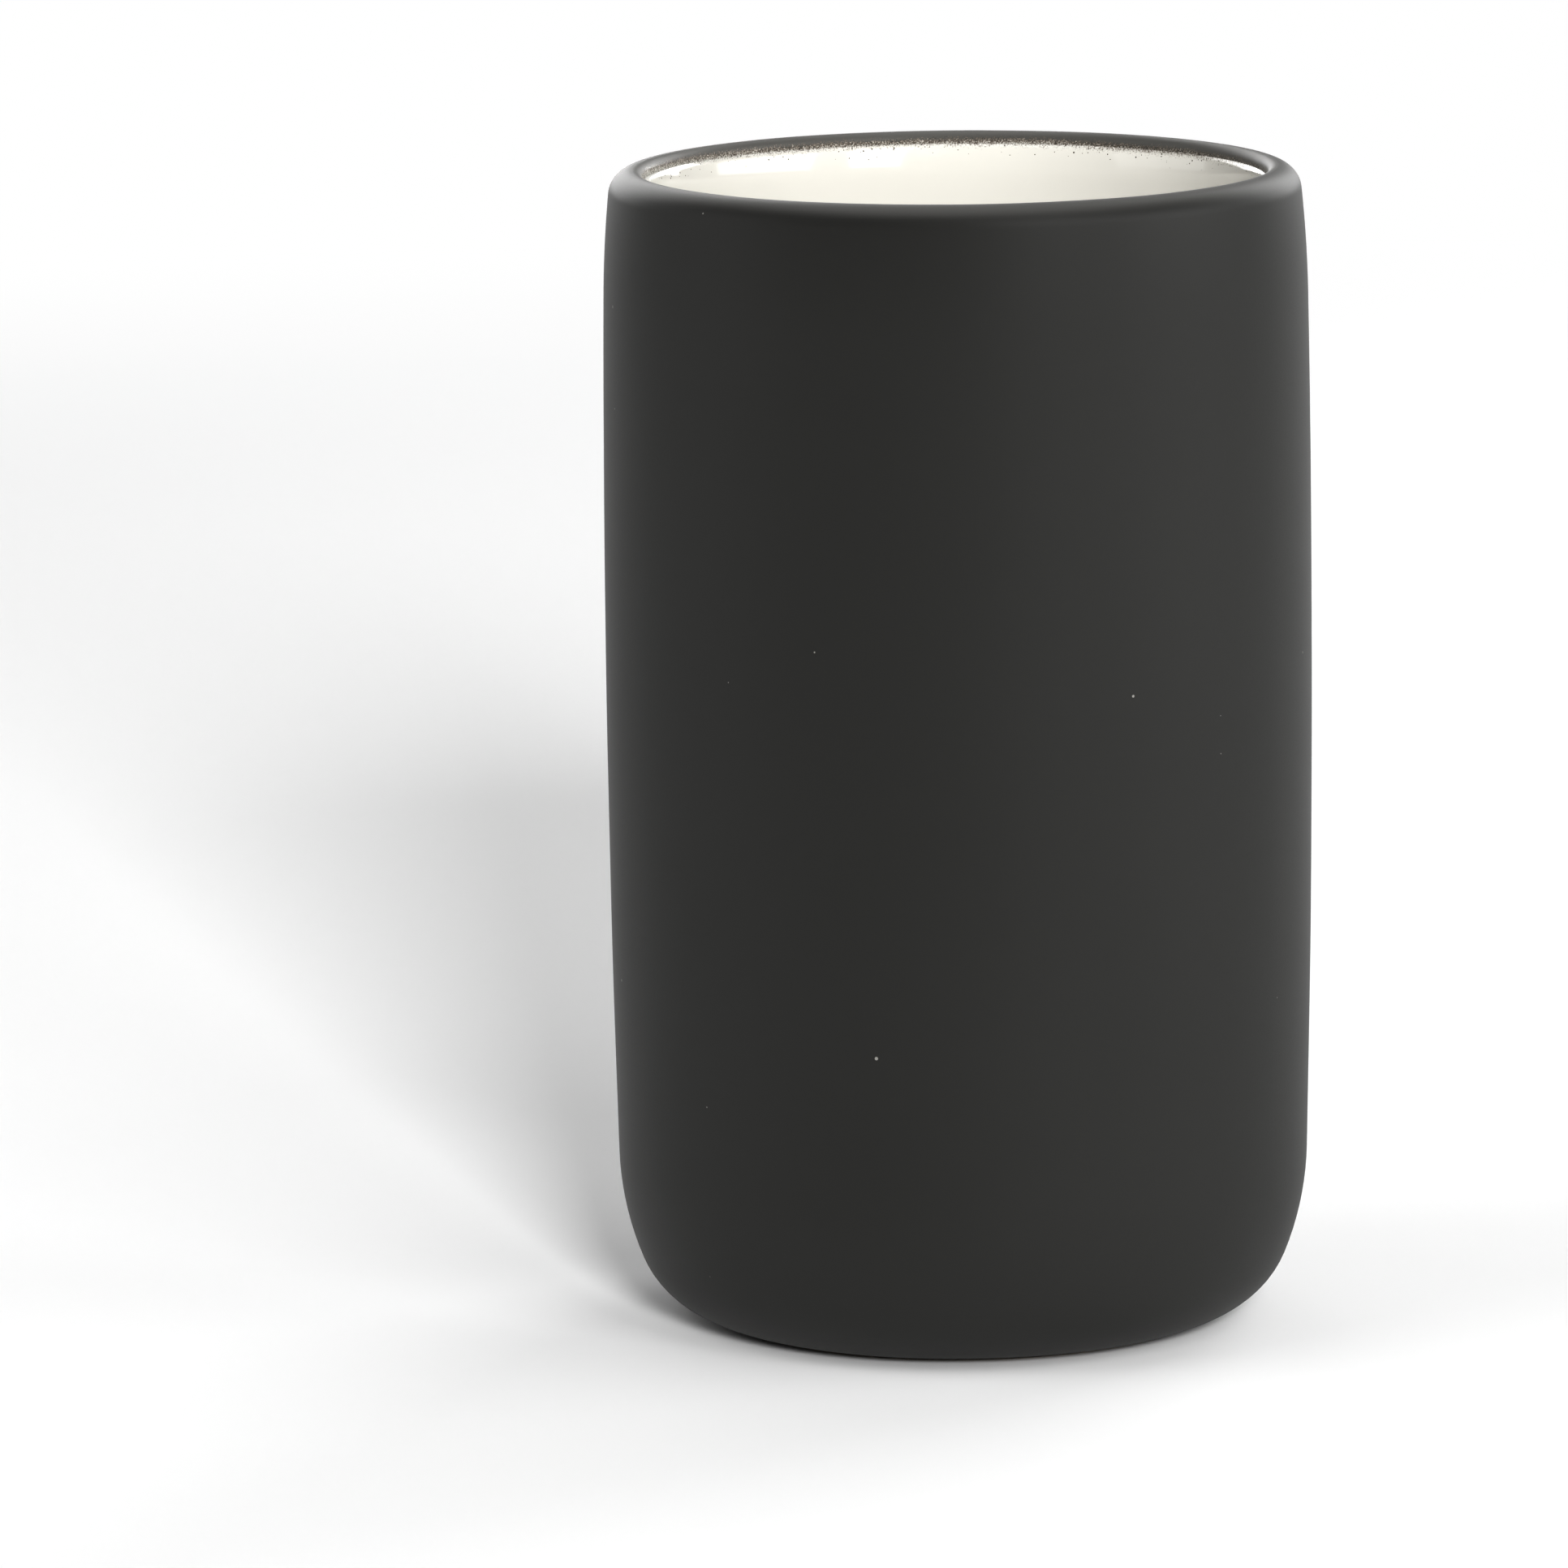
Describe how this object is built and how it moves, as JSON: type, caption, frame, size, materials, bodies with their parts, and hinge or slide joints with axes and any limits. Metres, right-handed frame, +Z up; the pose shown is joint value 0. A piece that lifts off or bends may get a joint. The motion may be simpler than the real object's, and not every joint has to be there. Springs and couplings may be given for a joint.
{
  "type": "candle jar",
  "caption": "Empty round stoneware candle jar, matte charcoal glaze outside and glossy cream inside, to be filled with wax and a wick or closed with a plug lid.",
  "frame": {"origin": "centre of the plane that the foot ring stands on", "axes": "+Z up the jar's axis of symmetry; the jar is round, so X and Y are any two level directions"},
  "size_m": [0.08, 0.08, 0.1315],
  "materials": {
    "bare_stoneware": "dry fired clay, unglazed, fine grog",
    "matte_charcoal_glaze": "satin matte sprayed glaze, very fine grain",
    "gloss_cream_glaze": "glossy poured glaze"
  },
  "bodies": {
    "root": {"stoneware_body": "bare_stoneware", "matte_outer_glaze": "matte_charcoal_glaze", "gloss_inner_glaze": "gloss_cream_glaze"}
  },
  "joints": []
}
